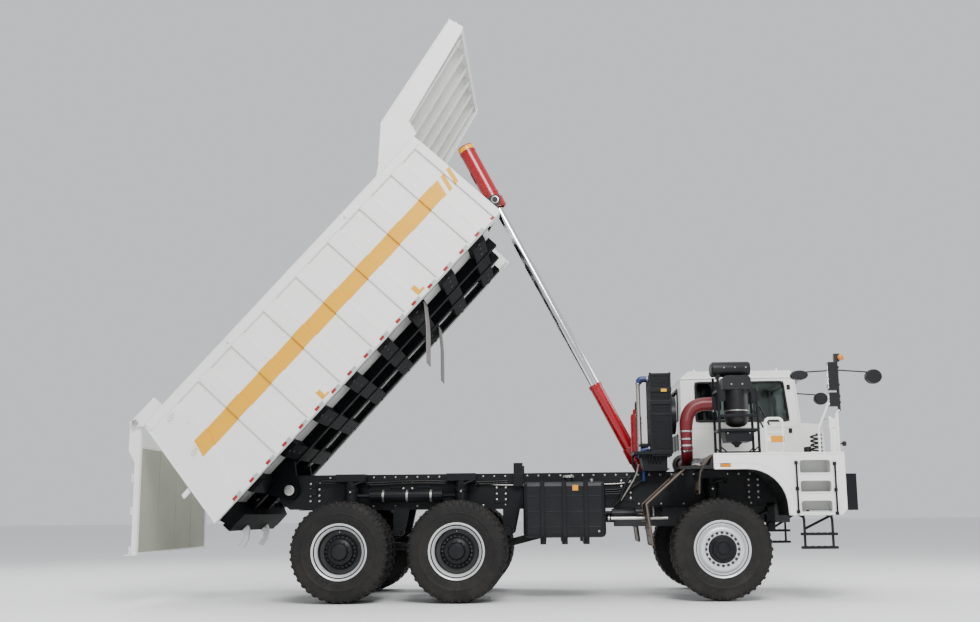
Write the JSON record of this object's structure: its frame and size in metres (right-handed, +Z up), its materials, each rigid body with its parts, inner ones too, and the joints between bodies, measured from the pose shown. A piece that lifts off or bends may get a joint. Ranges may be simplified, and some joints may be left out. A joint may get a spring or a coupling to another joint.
{
  "type": "mining dump truck",
  "caption": "Off-highway dumper with an offset cab, wide decks, a raised ribbed steel bed with a cab shield, a hanging tailgate and a front telescopic hoist.",
  "frame": {"origin": "on the ground, under the middle of the whole truck's bounding box with the bed raised", "axes": "+X towards the front of the truck, +Y to the truck's left, +Z up"},
  "size_m": [10.3468, 3.504, 8.2325],
  "materials": {
    "black_paint": "satin near-black paint",
    "black_plastic": "matt black plastic",
    "chrome": "polished chrome",
    "engine_grey": "dark grey painted castings",
    "grey_rubber": "dusty rubber sheet",
    "hoist_red": "gloss red paint",
    "red_silicone": "red silicone hose and pipe",
    "rim_silver": "silver paint",
    "seat_cloth": "dark seat cloth",
    "tyre_rubber": "dusty black rubber",
    "white_paint": "semi-gloss warm white paint, yellow band and dark red and silver tape on the bed",
    "window_glass": "tinted window glass"
  },
  "bodies": {
    "chassis": {"air_cleaner": "black_plastic", "battery_box": "black_paint", "bumper": "black_paint", "cab_shell": "white_paint", "chassis_frame": "black_paint", "dashboard": "black_plastic", "drive_shaft": "black_paint", "driver_seat": "seat_cloth", "engine_block": "engine_grey", "front_axle": "black_paint", "front_panel": "white_paint", "fuel_tank": "black_paint", "hydraulic_tank": "hoist_red", "intake_hose": "red_silicone", "left_deck": "white_paint", "left_mirror_arm": "black_paint", "left_mudguard": "black_plastic", "middle_axle": "black_paint", "radiator": "black_paint", "rear_axle": "black_paint", "rear_suspension_left": "black_paint", "rear_suspension_right": "black_paint", "rear_window": "window_glass", "right_deck": "white_paint", "right_hoop_rail": "white_paint", "right_mirror_rail": "black_paint", "right_mudguard": "black_plastic", "right_window": "window_glass", "windscreen": "window_glass"},
    "bed": {"dump_bed": "white_paint", "canopy": "white_paint", "bed_underframe": "black_paint", "trunnion_bracket": "black_paint"},
    "tailgate": {"tailgate": "white_paint"},
    "left_bed_flap": {"left_bed_flap": "grey_rubber"},
    "right_bed_flap": {"right_bed_flap": "grey_rubber"},
    "hoist_barrel": {"hoist_base": "hoist_red"},
    "hoist_stage_1": {"hoist_stage_1": "chrome"},
    "hoist_stage_2": {"hoist_stage_2": "chrome"},
    "hoist_stage_3": {"hoist_stage_3": "chrome"},
    "hoist_cover": {"hoist_cover": "hoist_red"},
    "cab_door": {"cab_door": "white_paint", "door_window": "window_glass"},
    "left_knuckle": {"left_steering_knuckle": "black_paint"},
    "right_knuckle": {"right_steering_knuckle": "black_paint"},
    "front_left_wheel": {"front_left_tyre": "tyre_rubber", "front_left_rim": "rim_silver"},
    "middle_left_wheel": {"middle_left_tyres": "tyre_rubber", "middle_left_hub": "rim_silver"},
    "rear_left_wheel": {"rear_left_tyres": "tyre_rubber", "rear_left_hub": "rim_silver"},
    "front_right_wheel": {"front_right_tyre": "tyre_rubber", "front_right_rim": "rim_silver"},
    "middle_right_wheel": {"middle_right_tyres": "tyre_rubber", "middle_right_hub": "rim_silver"},
    "rear_right_wheel": {"rear_right_tyres": "tyre_rubber", "rear_right_hub": "rim_silver"}
  },
  "joints": [
    {"name": "bed_tilt", "type": "hinge", "parent": "chassis", "child": "bed", "pos_m": [-3.1546, 0, 1.54], "axis": [0, 1, 0], "range_deg": [0, 47.35]},
    {"name": "tailgate_swing", "type": "hinge", "parent": "bed", "child": "tailgate", "pos_m": [-5.0734, 0, 2.45912], "axis": [0, 1, 0], "range_deg": [-36.5, 40]},
    {"name": "left_flap_swing", "type": "hinge", "parent": "bed", "child": "left_bed_flap", "pos_m": [-1.1115, 0, 4.14468], "axis": [0, 1, 0], "range_deg": [-47.85, 0.5]},
    {"name": "right_flap_swing", "type": "hinge", "parent": "bed", "child": "right_bed_flap", "pos_m": [-1.1115, 0, 4.14468], "axis": [0, 1, 0], "range_deg": [-47.85, 0.5]},
    {"name": "hoist_tilt", "type": "hinge", "parent": "chassis", "child": "hoist_barrel", "pos_m": [2.1354, 0, 1.52], "axis": [0, 1, 0], "range_deg": [-0.5, 26.54]},
    {"name": "hoist_slide_1", "type": "slide", "parent": "hoist_barrel", "child": "hoist_stage_1", "axis": [-0.4576, 0, 0.8891], "range_m": [-1.0486, 0.002]},
    {"name": "hoist_slide_2", "type": "slide", "parent": "hoist_stage_1", "child": "hoist_stage_2", "axis": [-0.4576, 0, 0.8891], "range_m": [-1.0486, 0.002]},
    {"name": "hoist_slide_3", "type": "slide", "parent": "hoist_stage_2", "child": "hoist_stage_3", "axis": [-0.4576, 0, 0.8891], "range_m": [-1.0486, 0.002]},
    {"name": "hoist_slide_4", "type": "slide", "parent": "hoist_stage_3", "child": "hoist_cover", "axis": [-0.4576, 0, 0.8891], "range_m": [-1.0486, 0.002]},
    {"name": "left_steer", "type": "hinge", "parent": "chassis", "child": "left_knuckle", "pos_m": [2.9254, 1.06, 0.685], "axis": [0, 0, 1], "range_deg": [-32, 32]},
    {"name": "front_left_roll", "type": "hinge", "parent": "left_knuckle", "child": "front_left_wheel", "pos_m": [2.9254, 1.364, 0.685], "axis": [0, 1, 0], "continuous": true},
    {"name": "middle_left_roll", "type": "hinge", "parent": "chassis", "child": "middle_left_wheel", "pos_m": [-0.6376, 0, 0.685], "axis": [0, 1, 0], "continuous": true},
    {"name": "rear_left_roll", "type": "hinge", "parent": "chassis", "child": "rear_left_wheel", "pos_m": [-2.2276, 0, 0.685], "axis": [0, 1, 0], "continuous": true},
    {"name": "right_steer", "type": "hinge", "parent": "chassis", "child": "right_knuckle", "pos_m": [2.9254, -1.06, 0.685], "axis": [0, 0, 1], "range_deg": [-32, 32]},
    {"name": "front_right_roll", "type": "hinge", "parent": "right_knuckle", "child": "front_right_wheel", "pos_m": [2.9254, -1.364, 0.685], "axis": [0, 1, 0], "continuous": true},
    {"name": "middle_right_roll", "type": "hinge", "parent": "chassis", "child": "middle_right_wheel", "pos_m": [-0.6376, 0, 0.685], "axis": [0, 1, 0], "continuous": true},
    {"name": "rear_right_roll", "type": "hinge", "parent": "chassis", "child": "rear_right_wheel", "pos_m": [-2.2276, 0, 0.685], "axis": [0, 1, 0], "continuous": true},
    {"name": "cab_door_swing", "type": "hinge", "parent": "chassis", "child": "cab_door", "pos_m": [4.0754, 1.612, 0], "axis": [0, 0, -1], "range_deg": [0, 70]}
  ],
  "couplings": [
    {"joint": "left_flap_swing", "follows": "bed_tilt", "ratio": -1},
    {"joint": "right_flap_swing", "follows": "bed_tilt", "ratio": -1},
    {"joint": "hoist_tilt", "follows": "bed_tilt", "ratio": 0.55005},
    {"joint": "hoist_slide_1", "follows": "bed_tilt", "m_per_rad": -1.2665},
    {"joint": "hoist_slide_2", "follows": "bed_tilt", "m_per_rad": -1.2665},
    {"joint": "hoist_slide_3", "follows": "bed_tilt", "m_per_rad": -1.2665},
    {"joint": "hoist_slide_4", "follows": "bed_tilt", "m_per_rad": -1.2665},
    {"joint": "right_steer", "follows": "left_steer", "ratio": 1}
  ]
}
